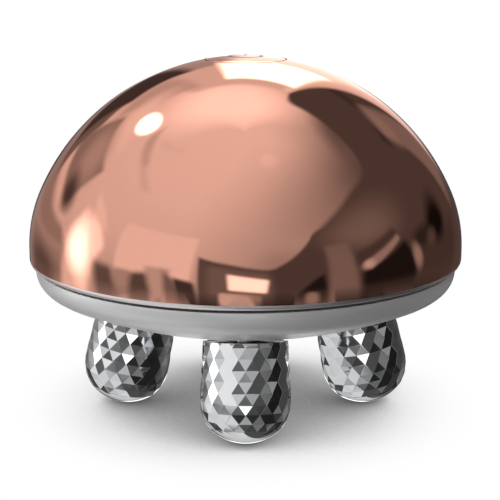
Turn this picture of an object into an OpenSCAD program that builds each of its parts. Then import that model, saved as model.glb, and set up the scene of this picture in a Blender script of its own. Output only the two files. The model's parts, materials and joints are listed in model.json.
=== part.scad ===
// Palm-held facial massager. A mirror-finished dome closes a satin bowl, four faceted rollers lean
// outwards below it on steel axles, and a power button sits flush in the crown.
// Millimetres. +Z is up and the front is -Y. The rollers stand on z = 0 and the origin is midway
// between them.

/* [Dome] */
// Outer diameter of the dome
dome_d = 96; // [90:0.5:102]
// Height of the crown above the surface that the rollers stand on
overall_h = 78.8; // [76:0.1:84]
// Wall of the dome
dome_wall = 2.2; // [1.6:0.1:2.8]
// Height of the straight band above the rounded lip
band_h = 1.8; // [1:0.1:3]
// Radius of the shoulder, where the crown's curve runs into the band
shoulder_r = 29.7; // [27:0.1:32]
// Radius of the rounded lip along the lower edge
lip_r = 1.3; // [0.8:0.1:1.6]
// Angle that the lip curls under
lip_turn = 78; // [65:1:85]
// Height of the lip's curled edge above the dome's foot
lip_rise = 0.3; // [0.1:0.05:0.6]
// Width of the thick rim that the dome stands on
rim_t = 3.4; // [3.2:0.1:4.2]
// Height of that rim
rim_h = 5; // [4:0.1:7]

/* [Bowl] */
// How far the bowl is set in from the dome's outer wall
bowl_inset = 1.3; // [0.8:0.1:1.8]
// Height of the bowl's top edge above the floor
bowl_top_z = 33.35; // [32.5:0.05:34.5]
// Height of the top edge above the bowl's widest ring
bowl_edge_h = 0.95; // [0.4:0.05:1.6]
// Depth of the bowl below its widest ring
bowl_depth = 13.8; // [13:0.1:14.6]
// Radius of the bowl's side
bowl_side_r = 4.8; // [4.2:0.1:6]
// Wall of the bowl
bowl_wall = 2.2; // [1.8:0.1:2.6]
// Radius of the small flat under the middle
bowl_flat_r = 10; // [6:0.5:12]
// Thickness of the ledge that carries the dome
ledge_t = 1.5; // [1.2:0.1:2]
// Thickness of the upright tongue inside the dome's rim
tongue_t = 1.6; // [1.2:0.1:2.2]
// Height of the tongue above the ledge
tongue_h = 3.2; // [2:0.1:4]
// Clearance between the tongue and the rim
tongue_fit = 0.15; // [0.05:0.05:0.3]
// Thickness of the gasket in the parting line
gasket_t = 0.55; // [0.4:0.05:0.8]
// Width of the gasket
gasket_w = 1; // [0.6:0.1:1.2]

/* [Rollers] */
// Diameter of a roller across its widest facet tips
roller_d = 19.3; // [17:0.1:20]
// Diameter of a roller at its upper end
roller_end_d = 18; // [16:0.1:18.6]
// Lean of a roller's axle from the vertical
roller_tilt = 12.2; // [9:0.1:15]
// Distance from the dome's side in to the circle on which the four rollers stand
foot_inset = 21.25; // [20:0.05:22.5]
// Radius of the smooth ball end
tip_ball_r = 10.5; // [10.1:0.1:12]
// Height of the smooth cap at the tip
tip_cap_h = 3.3; // [2.6:0.1:3.6]
// Distance from the tip to the widest ring
belly_s = 9; // [8:0.1:10]
// Facets round a roller
facets_round = 20; // [16:2:24]
// Height of a row of facets on the barrel
facet_row_h = 2.33; // [2:0.01:3]
// Rows of facets that curve in towards the tip
shoulder_rows = 3; // [2:1:4]
// Depth of the round well over each roller, on the axle
well_depth = 0.55; // [0.4:0.05:0.8]
// Gap between the well's floor and the roller's end
end_gap = 0.6; // [0.5:0.05:0.8]
// Gap round the roller's end inside the well
well_gap = 0.8; // [0.5:0.1:1.2]

/* [Axles] */
// Diameter of an axle
axle_d = 4; // [3:0.1:4.4]
// Radial running clearance of the axle in its bush
axle_fit = 0.05; // [0.03:0.01:0.08]
// Distance from the tip to the axle's lower end
axle_from = 7; // [5:0.5:12]
// Outer diameter of a bush
bush_d = 6.4; // [6:0.1:7]
// Length of a bush under its flange
bush_len = 8; // [6:0.5:9]
// Diameter of the bush's flange
flange_d = 8.6; // [8:0.1:9]
// Thickness of the flange
flange_t = 1; // [0.8:0.1:1.2]
// How far the flange stands out of the well's floor
flange_proud = 0.3; // [0.2:0.05:0.4]
// Diameter of a shaft seal
seal_d = 7.4; // [7:0.1:7.8]
// Height of a shaft seal
seal_h = 1.5; // [1:0.1:2]
// Diameter of the boss round a bush
boss_d = 10.4; // [10:0.1:11.5]
// Diameter of a retaining clip
clip_d = 8.4; // [7.6:0.1:9]
// Thickness of a retaining clip
clip_t = 0.6; // [0.4:0.1:0.8]
// Depth of the axle's groove under the clip
groove_depth = 0.45; // [0.3:0.05:0.6]
// Gap between the clip and the boss
clip_gap = 0.2; // [0.1:0.05:0.3]
// Length of the axle past its clip
axle_past = 1; // [0.6:0.1:1.5]

/* [Button] */
// Diameter of the power button
button_d = 17.6; // [15:0.1:19]
// Gap round the button
button_gap = 0.2; // [0.15:0.05:0.3]
// Travel of the button
button_travel = 0.7; // [0.4:0.1:1]
// Thickness of the button's top
button_top_t = 2.2; // [1.8:0.1:2.6]
// Wall of the button's skirt
skirt_t = 1.5; // [1.2:0.1:2]
// Depth from the crown to the end of the dome's collar
collar_drop = 4.4; // [4:0.1:5]
// Wall of the collar round the button
collar_t = 2.2; // [1.6:0.1:2.6]
// Width of the button's stop flange
stop_w = 1.4; // [1:0.1:1.6]
// Thickness of the stop flange
stop_t = 0.9; // [0.7:0.1:1.2]
// Gap over the stop flange
stop_gap = 0.1; // [0.05:0.05:0.2]
// Clearance under the stop flange when the button is pressed
press_gap = 0.3; // [0.2:0.1:0.6]
// Wall and floor of the guide under the button
guide_t = 1.2; // [1:0.1:1.6]
// Diameter of the button's stem
stem_d = 3.6; // [3:0.1:4]
// Radial clearance of the stem in its guide
stem_fit = 0.1; // [0.08:0.01:0.1]
// Length of the stem below the guide
stem_past = 1.4; // [1.2:0.1:2]
// Mean diameter of the return spring
spring_d = 7.2; // [6:0.1:8]
// Wire of the return spring
spring_wire = 0.6; // [0.4:0.1:0.7]
// Turns of the return spring
spring_turns = 3.5; // [3:0.5:4]
// Mean diameter of the power symbol's ring
symbol_d = 7.2; // [6:0.1:9]
// Width of the symbol's lines
symbol_line = 0.75; // [0.5:0.05:1]
// Depth of the symbol's inlay
symbol_depth = 0.5; // [0.3:0.1:0.8]

/* [Electronics] */
// Diameter of the circuit board
board_d = 42; // [40:0.5:44]
// Thickness of the boards
board_t = 1.6; // [1:0.1:2]
// Radius of the circle of the board's bosses
board_boss_r = 17; // [16.5:0.1:17.6]
// Diameter of the board's bosses
board_boss_d = 4.6; // [4:0.1:5]
// Side of the tact switch
switch_w = 6.2; // [5:0.1:7]
// Height of the tact switch
switch_h = 3.4; // [3:0.1:4]
// Diameter of the tact switch's plunger
plunger_d = 3; // [2:0.1:3.2]
// Diameter of the battery cell
cell_d = 14; // [12:0.1:14.5]
// Length of the battery cell
cell_l = 48; // [44:0.5:50]
// Diameter of the motor
motor_d = 12; // [10:0.1:12.4]
// Length of the motor
motor_l = 16; // [12:0.5:18]
// Diameter of the motor's shaft
shaft_d = 1.5; // [1.2:0.1:2]
// Radius of the eccentric weight
weight_r = 5.2; // [4:0.1:5.4]
// Length of the eccentric weight
weight_l = 6; // [4:0.5:8]
// Distance of the cell's and the motor's axes from the middle
pack_y = 10; // [9.5:0.1:11]
// Height of the charging socket's axis above the floor
socket_z = 30; // [29.8:0.1:30.3]
// Width of the charging socket
socket_w = 8.9; // [8.5:0.1:9.2]
// Height of the charging socket
socket_h = 3.2; // [3:0.1:3.4]
// Length of the charging socket
socket_l = 7.3; // [6.5:0.1:8]
// Gap round the charging socket in the bowl's wall
socket_gap = 0.3; // [0.2:0.05:0.4]

/* [Chassis and screws] */
// Radius of the chassis plate
chassis_r = 30; // [29:0.1:31]
// Thickness of the chassis plate
chassis_t = 2; // [1.6:0.1:2.4]
// Space between the axles' ends and the chassis
chassis_gap = 2; // [1.6:0.1:3]
// Radius of the circle of the chassis posts
post_r = 24; // [23.5:0.1:24.5]
// Diameter of the chassis posts
post_d = 6; // [5:0.1:6.6]
// Thickness under the cell and the motor
saddle_t = 1; // [0.8:0.1:1.6]
// Distance from the dome's side in to the circle of the housing screws
screw_inset = 12; // [11.5:0.1:12.5]
// Diameter of the housing screws
screw_d = 3; // [2.5:0.1:3.2]
// Diameter of a housing screw's head
screw_head_d = 5.6; // [5:0.1:6]
// Height of a housing screw's head
screw_head_h = 2; // [1.6:0.1:2.4]
// Length of a housing screw
screw_l = 14; // [10:0.5:18]
// Height of the screw heads' seats above the floor
screw_seat_z = 27.6; // [27.2:0.1:28.4]
// Wall round a screw in the dome's pillars
pillar_wall = 2.1; // [1.6:0.1:2.4]
// Diameter of the small screws on the chassis and the boards
small_screw_d = 2; // [1.6:0.1:2.2]

/* [Hidden] */
$fn = 96;
nudge = 0.01;

// The four rollers, counted from the front
FRONT = -90;
RIGHT = 0;
BACK = 90;
LEFT = 180;

// Radius of an arc that meets a smaller arc of radius r, where the whole spans R outwards and h along
function big_arc_r(R, h, r) = (R * R + h * h - 2 * R * r) / (2 * (h - r));

// Dome
dome_r = dome_d / 2;
dome_foot_z = bowl_top_z + gasket_t;
lip_z = dome_foot_z + lip_rise + lip_r * sin(lip_turn);
spring_z = lip_z + band_h;
dome_rise = overall_h - spring_z;
crown_r = big_arc_r(dome_r, dome_rise, shoulder_r);
crown_cz = overall_h - crown_r;
shoulder_cx = dome_r - shoulder_r;
dome_join_a = atan2(spring_z - crown_cz, shoulder_cx);
land_r = dome_r - rim_t;
cavity_z = dome_foot_z + rim_h;

// Bowl
bowl_r = dome_r - bowl_inset;
wide_z = bowl_top_z - bowl_edge_h;
belly_r = big_arc_r(bowl_r, bowl_depth, bowl_side_r);
belly_cz = wide_z - bowl_depth + belly_r;
side_cx = bowl_r - bowl_side_r;
bowl_join_a = atan2(belly_cz - wide_z, side_cx);
bowl_flat_z = belly_cz - sqrt(belly_r * belly_r - bowl_flat_r * bowl_flat_r);
ledge_z = bowl_top_z - ledge_t;
tongue_r = land_r - tongue_fit;
tongue_in_r = tongue_r - tongue_t;

// Rollers: s runs up the axle from the tip
roller_r = roller_d / 2;
foot_r = dome_r - foot_inset;
tip_r = foot_r + tip_ball_r * sin(roller_tilt);
tip_z = tip_ball_r * (1 - cos(roller_tilt));
tip_up = tip_z - belly_cz;
s_mid = tip_r * sin(roller_tilt) - tip_up * cos(roller_tilt);
bowl_s = s_mid - sqrt(s_mid * s_mid - tip_r * tip_r - tip_up * tip_up + belly_r * belly_r);
well_s = bowl_s + well_depth;
roller_len = well_s - end_gap;
well_r = roller_end_d / 2 + well_gap;
cap_r = sqrt(2 * tip_ball_r * tip_cap_h - tip_cap_h * tip_cap_h);
cap_ledge = 0.06;
facet_start_r = cap_r - cap_ledge;
curve_r = (pow(roller_r - facet_start_r, 2) + pow(belly_s - tip_cap_h, 2)) / (2 * (roller_r - facet_start_r));
curve_a = asin((belly_s - tip_cap_h) / curve_r);
roller_taper = (roller_d - roller_end_d) / 2 / (roller_len - belly_s);
barrel_rows = ceil((roller_len - belly_s) / facet_row_h);

// Axles and what they run in
axle_r = axle_d / 2;
flange_s = well_s + flange_t - flange_proud;
bush_end_s = flange_s + bush_len;
boss_end_s = bush_end_s + seal_h;
clip_s = boss_end_s + clip_gap;
axle_end_s = clip_s + clip_t + axle_past;
axle_top_z = tip_z + axle_end_s * cos(roller_tilt) + axle_r * sin(roller_tilt);

// Button, from the crown down
button_r = button_d / 2;
hole_r = button_r + button_gap;
collar_r = hole_r + collar_t;
collar_z = overall_h - collar_drop;
stop_z = collar_z - stop_gap - stop_t;
guide_floor_z = stop_z - button_travel - press_gap;
stem_end_z = guide_floor_z - guide_t - stem_past;
button_roof_z = overall_h - button_top_t;
plunger_spare = 0.2;
plunger_in = 0.4;
switch_top_z = stem_end_z - button_travel - plunger_spare;
board_top_z = switch_top_z - switch_h;

// Chassis and screws
screw_ring_r = dome_r - screw_inset;
chassis_z = axle_top_z + chassis_gap;
deck_z = chassis_z + chassis_t;
cell_z = deck_z + saddle_t + cell_d / 2;
motor_z = deck_z + saddle_t + motor_d / 2;
boss_wall = 1.5;
screw_fit = 0.3;
small_head_d = 2 * small_screw_d;
small_head_h = 0.7 * small_screw_d;
small_screw_l = 4 * small_screw_d;
saddle_w = 5;
cell_saddle_x = 9;
motor_saddle_w = 3.5;
clamp_w = 6;
clamp_t = 1.2;
clamp_foot = 5;
motor_mid_x = -motor_l / 2;
function clamp_screw_y(side) = -pack_y + side * (motor_d / 2 + clamp_t + clamp_foot / 2);
weight_gap = 1.5;

// Charging socket, its small board and the two posts under the board
end_step = 22.5;
socket_y = side_cx + sqrt(pow(bowl_side_r, 2) - pow(wide_z - socket_z + socket_h / 2 + socket_gap, 2));
socket_top_z = socket_z + socket_h / 2;
socket_board_t = 1;
socket_board_w = 14;
socket_board_l = 9;
socket_post_x = 5.2;
socket_post_back = 8.5;
socket_post_y = tongue_in_r - socket_post_back;
socket_post_inset = 2;
socket_screw_l = 2.5 * small_screw_d;
pilot_spare = 0.5;

// Places a child on a roller's axle: z runs up the axle from the tip and x points outwards
module on_axle(side) {
    rotate([0, 0, side]) translate([tip_r, 0, tip_z]) rotate([0, -roller_tilt, 0]) children();
}

// Places a child at each corner of a square whose corners lie on a circle
module at_corners(ring_r) {
    for (a = [45 : 90 : 315]) rotate([0, 0, a]) translate([ring_r, 0, 0]) children();
}

// Places a child at each of the circuit board's three bosses
module at_board_bosses() {
    for (a = [30 : 120 : 270]) rotate([0, 0, a]) translate([board_boss_r, 0, 0]) children();
}

// Half outline of the dome above its band, drawn in by t
module crown_outline(t) {
    far = 2 * crown_r;
    near = 2 * shoulder_r;
    intersection() {
        translate([0, spring_z]) square([dome_r, dome_rise]);
        union() {
            intersection() {
                translate([0, crown_cz]) circle(r = crown_r - t);
                polygon([[0, crown_cz], [far * cos(dome_join_a), crown_cz + far * sin(dome_join_a)],
                         [0, crown_cz + far]]);
            }
            intersection() {
                translate([shoulder_cx, spring_z]) circle(r = shoulder_r - t);
                polygon([[shoulder_cx, spring_z], [shoulder_cx + near, spring_z],
                         [shoulder_cx + near * cos(dome_join_a), spring_z + near * sin(dome_join_a)]]);
            }
        }
    }
}

// Half outline of the dome's band and of the lip that curls under it
module lip_outline() {
    lip_cx = dome_r - lip_r;
    edge_x = lip_cx + lip_r * cos(lip_turn);
    edge_z = lip_z - lip_r * sin(lip_turn);
    foot_x = edge_x - lip_rise * tan(lip_turn);
    translate([0, lip_z]) square([dome_r, band_h]);
    intersection() {
        translate([lip_cx, lip_z]) circle(r = lip_r);
        translate([lip_cx, lip_z - lip_r]) square([lip_r, lip_r]);
    }
    polygon([[0, lip_z], [lip_cx, lip_z], [edge_x, edge_z], [foot_x, dome_foot_z], [0, dome_foot_z]]);
}

// Half outline of the bowl, drawn in by t
module bowl_outline(t) {
    far = 2 * belly_r;
    near = 2 * bowl_side_r;
    intersection() {
        union() {
            intersection() {
                translate([0, belly_cz]) circle(r = belly_r - t);
                polygon([[0, belly_cz], [0, belly_cz - far],
                         [far * cos(bowl_join_a), belly_cz - far * sin(bowl_join_a)]]);
                translate([0, wide_z - far]) square([bowl_r, far]);
            }
            intersection() {
                translate([side_cx, wide_z]) circle(r = bowl_side_r - t);
                polygon([[side_cx, bowl_top_z], [side_cx, wide_z],
                         [side_cx + near * cos(bowl_join_a), wide_z - near * sin(bowl_join_a)],
                         [side_cx + near, bowl_top_z]]);
            }
            translate([0, wide_z]) square([side_cx, bowl_edge_h]);
        }
        translate([0, bowl_flat_z + t]) square([bowl_r, bowl_depth + bowl_side_r]);
    }
}

// Space inside the dome, down to the middle of its wall, that trims what grows out of the wall
module dome_room() {
    rotate_extrude() {
        crown_outline(dome_wall / 2);
        translate([0, bowl_top_z]) square([land_r, cavity_z - bowl_top_z]);
    }
}

// The same inside the bowl
module bowl_room() {
    rotate_extrude() {
        bowl_outline(bowl_wall / 2);
        translate([0, ledge_z]) square([tongue_in_r, ledge_t + tongue_h + chassis_z]);
    }
}

// Mirror-plated dome: shell, thick rim, collar for the button, pillars for the housing screws
// with their ribs, and bosses for the circuit board
module dome_cover() {
    pillar_r = screw_d / 2 + pillar_wall;
    rib_t = 2 / 3 * dome_wall;
    pilot_l = screw_seat_z + screw_l - bowl_top_z + pilot_spare;
    board_pilot_l = small_screw_l - board_t + pilot_spare;
    color([0.78, 0.52, 0.44]) difference() {
        union() {
            rotate_extrude() difference() {
                union() {
                    crown_outline(0);
                    lip_outline();
                }
                crown_outline(dome_wall);
                translate([0, cavity_z]) square([dome_r - dome_wall, spring_z - cavity_z]);
                square([land_r, cavity_z]);
            }
            intersection() {
                dome_room();
                union() {
                    translate([0, 0, collar_z]) cylinder(r = collar_r, h = collar_drop);
                    at_corners(screw_ring_r) {
                        translate([0, 0, bowl_top_z]) cylinder(r = pillar_r, h = dome_rise);
                        translate([0, -rib_t / 2, cavity_z])
                            cube([dome_r - screw_ring_r, rib_t, dome_rise]);
                    }
                    at_board_bosses() translate([0, 0, board_top_z])
                        cylinder(d = board_boss_d, h = dome_rise);
                }
            }
        }
        translate([0, 0, collar_z - nudge]) cylinder(r = hole_r, h = overall_h);
        at_corners(screw_ring_r) translate([0, 0, bowl_top_z - nudge])
            cylinder(d = screw_d, h = pilot_l + nudge);
        at_board_bosses() translate([0, 0, board_top_z - nudge])
            cylinder(d = small_screw_d, h = board_pilot_l + nudge);
    }
}

// Satin bowl: shell with the ledge and tongue that carry the dome, a well and a bearing boss for
// each roller, screw bosses, chassis posts and the slot for the charging socket
module base_shell() {
    screw_boss_r = screw_head_d / 2 + boss_wall;
    color([0.72, 0.72, 0.73]) difference() {
        union() {
            rotate_extrude() {
                difference() {
                    bowl_outline(0);
                    intersection() {
                        bowl_outline(bowl_wall);
                        square([bowl_r, ledge_z]);
                    }
                    translate([0, ledge_z - nudge]) square([tongue_in_r, bowl_top_z]);
                }
                translate([tongue_in_r, ledge_z]) square([tongue_t, ledge_t + tongue_h]);
            }
            for (side = [FRONT, RIGHT, BACK, LEFT]) on_axle(side)
                translate([0, 0, well_s]) cylinder(d = boss_d, h = boss_end_s - well_s);
            intersection() {
                bowl_room();
                union() {
                    at_corners(screw_ring_r) cylinder(r = screw_boss_r, h = bowl_top_z);
                    at_corners(post_r) cylinder(d = post_d, h = chassis_z);
                    for (x = [-socket_post_x, socket_post_x]) translate([x, socket_post_y, 0])
                        cylinder(d = small_head_d, h = socket_top_z);
                }
            }
        }
        for (side = [FRONT, RIGHT, BACK, LEFT]) on_axle(side) {
            translate([0, 0, well_s - bowl_depth]) cylinder(r = well_r, h = bowl_depth);
            translate([0, 0, well_s - nudge]) cylinder(d = flange_d, h = flange_s - well_s + nudge);
            translate([0, 0, well_s]) cylinder(d = bush_d, h = boss_end_s);
            translate([0, 0, bush_end_s]) cylinder(d = seal_d, h = boss_end_s);
        }
        at_corners(screw_ring_r) {
            cylinder(d = screw_head_d + 2 * screw_fit, h = screw_seat_z);
            cylinder(d = screw_d + 2 * screw_fit, h = overall_h);
        }
        at_corners(post_r) translate([0, 0, chassis_z - small_screw_l])
            cylinder(d = small_screw_d, h = overall_h);
        for (x = [-socket_post_x, socket_post_x])
            translate([x, socket_post_y, socket_top_z + socket_board_t - socket_screw_l - pilot_spare])
                cylinder(d = small_screw_d, h = socket_screw_l + pilot_spare);
        translate([0, socket_y - socket_l, socket_z]) socket_prism(socket_gap, 2 * socket_l);
    }
}

// Dark elastomer ring in the parting line
module seal_gasket() {
    color([0.08, 0.07, 0.07]) translate([0, 0, bowl_top_z]) difference() {
        cylinder(r = tongue_r + gasket_w, h = gasket_t);
        translate([0, 0, -nudge]) cylinder(r = tongue_r, h = gasket_t + 2 * nudge);
    }
}

// A screw with its head below z = 0 and its shank upwards
module screw(d, head_d, head_h, l) {
    slot_w = d / 3;
    slot_l = 0.7 * head_d;
    slot_depth = 0.6 * head_h;
    color([0.62, 0.62, 0.64]) difference() {
        union() {
            translate([0, 0, -head_h]) cylinder(d = head_d, h = head_h);
            cylinder(d = d, h = l);
        }
        for (a = [0, 90]) rotate([0, 0, a])
            translate([-slot_l / 2, -slot_w / 2, -head_h - nudge]) cube([slot_l, slot_w, slot_depth]);
    }
}

// A small screw with its head above z = 0 and its shank downwards
module small_screw(l) {
    mirror([0, 0, 1]) screw(small_screw_d, small_head_d, small_head_h, l);
}

// Four screws that draw the dome down on the bowl
module housing_screws() {
    at_corners(screw_ring_r) translate([0, 0, screw_seat_z])
        screw(screw_d, screw_head_d, screw_head_h, screw_l);
}

// Radius and height of the facets' rings, from the tip up. They swap a half step from ring to ring.
function ring_s(i) = i < shoulder_rows
    ? belly_s - curve_r * sin(curve_a * (shoulder_rows - i) / shoulder_rows)
    : belly_s + (i - shoulder_rows) * facet_row_h;
function ring_r(i) = i < shoulder_rows
    ? roller_r - curve_r * (1 - cos(curve_a * (shoulder_rows - i) / shoulder_rows))
    : roller_r - (i - shoulder_rows) * facet_row_h * roller_taper;
function ring_shift(i) = (i + shoulder_rows) % 2 == 0 ? 0.5 : 0;

// Faceted barrel: triangles between staggered rings
module facet_barrel() {
    rings = shoulder_rows + barrel_rows + 1;
    n = facets_round;
    points = [for (i = [0 : rings - 1]) for (k = [0 : n - 1])
        let (a = (k + ring_shift(i)) * 360 / n)
        [ring_r(i) * cos(a), ring_r(i) * sin(a), ring_s(i)]];
    faces = [for (i = [0 : rings - 2]) for (k = [0 : n - 1])
        let (low = i * n, up = low + n, on = (k + 1) % n, led = ring_shift(i) > 0)
        each led
            ? [[low + k, up + on, low + on], [low + k, up + k, up + on]]
            : [[low + k, up + k, low + on], [low + on, up + k, up + on]]];
    floor_face = [[for (k = [0 : n - 1]) k]];
    roof_face = [[for (k = [n - 1 : -1 : 0]) (rings - 1) * n + k]];
    polyhedron(points = points, faces = concat(floor_face, faces, roof_face));
}

// Chrome roller: faceted barrel, smooth cap at the tip and a bore for its axle
module roller(side) {
    color([0.75, 0.76, 0.78]) on_axle(side) difference() {
        union() {
            facet_barrel();
            intersection() {
                translate([0, 0, tip_ball_r]) rotate([90, 0, 0]) sphere(r = tip_ball_r);
                cylinder(r = cap_r + 1, h = tip_cap_h);
            }
        }
        translate([0, 0, roller_len]) cylinder(d = 2 * roller_d, h = roller_d);
        translate([0, 0, axle_from]) cylinder(d = axle_d, h = roller_len);
    }
}

// Steel axle, fixed in its roller, with a groove for the clip
module axle(side) {
    chamfer = axle_r / 4;
    color([0.6, 0.61, 0.63]) on_axle(side) difference() {
        union() {
            translate([0, 0, axle_from]) cylinder(r = axle_r, h = axle_end_s - axle_from - chamfer);
            translate([0, 0, axle_end_s - chamfer])
                cylinder(r1 = axle_r, r2 = axle_r - chamfer, h = chamfer);
        }
        translate([0, 0, clip_s]) difference() {
            cylinder(r = 2 * axle_r, h = clip_t);
            translate([0, 0, -nudge]) cylinder(r = axle_r - groove_depth, h = clip_t + 2 * nudge);
        }
    }
}

// Retaining clip, snapped into the axle's groove
module clip(side) {
    grip_r = axle_r - groove_depth;
    mouth_w = 1.6 * grip_r;
    clip_w = clip_d / 2 - grip_r;
    eye_a = 65;
    color([0.35, 0.35, 0.37]) on_axle(side) translate([0, 0, clip_s]) difference() {
        cylinder(d = clip_d, h = clip_t);
        translate([0, 0, -nudge]) cylinder(r = grip_r, h = clip_t + 2 * nudge);
        translate([0, -mouth_w / 2, -nudge]) cube([clip_d, mouth_w, clip_t + 2 * nudge]);
        for (a = [-eye_a, eye_a]) rotate([0, 0, 180 + a]) translate([grip_r + clip_w / 2, 0, -nudge])
            cylinder(r = clip_w / 4, h = clip_t + 2 * nudge);
    }
}

// Flanged bush, pressed into its boss from below
module bush(side) {
    color([0.55, 0.48, 0.36]) on_axle(side) difference() {
        union() {
            translate([0, 0, flange_s - flange_t]) cylinder(d = flange_d, h = flange_t);
            translate([0, 0, flange_s]) cylinder(d = bush_d, h = bush_len);
        }
        translate([0, 0, flange_s - flange_t - nudge])
            cylinder(r = axle_r + axle_fit, h = flange_t + bush_len + 2 * nudge);
    }
}

// Rubber ring above the bush that keeps water out
module shaft_seal(side) {
    color([0.1, 0.1, 0.11]) on_axle(side) translate([0, 0, bush_end_s]) difference() {
        cylinder(d = seal_d, h = seal_h);
        translate([0, 0, -nudge]) cylinder(r = axle_r + axle_fit, h = seal_h + 2 * nudge);
    }
}

// Ball of the dome's crown, drawn in by t, with its poles at the sides
module crown_ball(t) {
    translate([0, 0, crown_cz]) rotate([90, 0, 0]) sphere(r = crown_r - t, $fn = 2 * $fn);
}

// Flat outline of the power symbol: a ring open at the back with an upright bar in the opening
module symbol_outline() {
    symbol_r = symbol_d / 2;
    opening = 1.7 * symbol_line;
    bar_from = symbol_r / 4;
    difference() {
        circle(r = symbol_r + symbol_line / 2);
        circle(r = symbol_r - symbol_line / 2);
        translate([-opening, 0]) square([2 * opening, symbol_d]);
    }
    translate([-symbol_line / 2, bar_from]) square([symbol_line, symbol_r]);
}

// Plated button: top flush with the crown, skirt, stop flange and stem
module power_button() {
    color([0.78, 0.52, 0.44]) difference() {
        union() {
            intersection() {
                crown_ball(0);
                translate([0, 0, stop_z]) cylinder(r = button_r, h = dome_rise);
            }
            translate([0, 0, stop_z]) cylinder(r = button_r + stop_w, h = stop_t);
        }
        translate([0, 0, stop_z - nudge])
            cylinder(r = button_r - skirt_t, h = button_roof_z - stop_z + nudge);
        power_symbol_room();
    }
    color([0.78, 0.52, 0.44]) translate([0, 0, stem_end_z])
        cylinder(d = stem_d, h = button_roof_z - stem_end_z);
}

// Space that the symbol fills in the button's top
module power_symbol_room() {
    difference() {
        linear_extrude(height = 2 * overall_h) symbol_outline();
        crown_ball(symbol_depth);
    }
}

// Dark inlay, flush with the button's top
module power_symbol() {
    color([0.13, 0.09, 0.08]) intersection() {
        power_symbol_room();
        crown_ball(0);
    }
}

// Cup that guides the stem and carries the return spring, pushed over the dome's collar
module button_guide() {
    cup_top_z = crown_cz + sqrt(pow(crown_r - dome_wall, 2) - pow(collar_r + guide_t, 2)) - stop_gap;
    cup_z = guide_floor_z - guide_t;
    color([0.2, 0.2, 0.22]) difference() {
        translate([0, 0, cup_z]) cylinder(r = collar_r + guide_t, h = cup_top_z - cup_z);
        translate([0, 0, guide_floor_z]) cylinder(r = collar_r, h = cup_top_z);
        translate([0, 0, cup_z - nudge]) cylinder(d = stem_d + 2 * stem_fit, h = cup_top_z);
    }
}

// Coil spring between the guide's floor and the button's top
module return_spring() {
    wire_r = spring_wire / 2;
    steps = 16;
    sides = 6;
    low_z = guide_floor_z + wire_r;
    rise = button_roof_z - guide_floor_z - spring_wire;
    rings = spring_turns * steps;
    points = [for (i = [0 : rings]) for (k = [0 : sides - 1])
        let (a = 360 * i / steps, b = 360 * k / sides, r = spring_d / 2 + wire_r * cos(b))
        [r * cos(a), r * sin(a), low_z + rise * i / rings + wire_r * sin(b)]];
    walls = [for (i = [0 : rings - 1]) for (k = [0 : sides - 1])
        let (on = (k + 1) % sides)
        each [[i * sides + k, i * sides + on, (i + 1) * sides + on],
              [i * sides + k, (i + 1) * sides + on, (i + 1) * sides + k]]];
    first = [[for (k = [sides - 1 : -1 : 0]) k]];
    last = [[for (k = [0 : sides - 1]) rings * sides + k]];
    color([0.7, 0.7, 0.72]) polyhedron(points = points, faces = concat(first, walls, last));
}

// Plunger of the tact switch, which the stem pushes
module switch_plunger() {
    color([0.12, 0.12, 0.12]) translate([0, 0, switch_top_z - plunger_in])
        cylinder(d = plunger_d, h = stem_end_z - switch_top_z + plunger_in);
}

// Body of the tact switch on the board
module tact_switch() {
    color([0.15, 0.15, 0.16]) difference() {
        translate([-switch_w / 2, -switch_w / 2, board_top_z]) cube([switch_w, switch_w, switch_h]);
        translate([0, 0, switch_top_z - plunger_in - button_travel - plunger_spare])
            cylinder(r = plunger_d / 2 + axle_fit, h = switch_h);
    }
}

// Round circuit board, screwed under the dome's bosses, with two holes that its leads pass through
module circuit_board() {
    wire_hole_x = 15;
    wire_hole_y = 9;
    wire_hole_d = 2;
    color([0.05, 0.32, 0.2]) difference() {
        translate([0, 0, board_top_z - board_t]) cylinder(d = board_d, h = board_t);
        at_board_bosses() cylinder(d = small_screw_d, h = overall_h);
        for (x = [-wire_hole_x, wire_hole_x]) translate([x, -wire_hole_y, 0])
            cylinder(d = wire_hole_d, h = overall_h);
    }
}

// Controller, charger, coil, capacitors and lead connector under the board
module board_components() {
    controller = [7, 7, 1.2];
    controller_at = [-6, -4, 0];
    charger = [4, 5, 1];
    charger_at = [5, -3, 0];
    lead_plug = [3, 6, 3];
    lead_plug_at = [-12, -2, 0];
    capacitor = [1.2, 2, 0.8];
    capacitor_at = [4, 5, 0];
    capacitor_pitch = 3;
    coil_d = 5;
    coil_h = 2.5;
    coil_at = [-3, 7, 0];
    color([0.08, 0.08, 0.09]) translate([0, 0, board_top_z - board_t]) {
        translate(controller_at) hung_block(controller);
        translate(charger_at) hung_block(charger);
        translate(lead_plug_at) hung_block(lead_plug);
        for (i = [0 : 2]) translate(capacitor_at + [i * capacitor_pitch, 0, 0]) hung_block(capacitor);
        translate(coil_at - [0, 0, coil_h]) cylinder(d = coil_d, h = coil_h);
    }
}

// A component that hangs under z = 0
module hung_block(size) {
    translate([0, 0, -size[2]]) cube(size);
}

// Three small screws under the board
module board_screws() {
    at_board_bosses() translate([0, 0, board_top_z - board_t])
        screw(small_screw_d, small_head_d, small_head_h, small_screw_l);
}

// Light-emitting diode beside the switch
module status_led() {
    led = [2.4, 2, 1.1];
    color([0.95, 0.95, 0.9]) translate([switch_w, -led[1] / 2, board_top_z]) cube(led);
}

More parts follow.
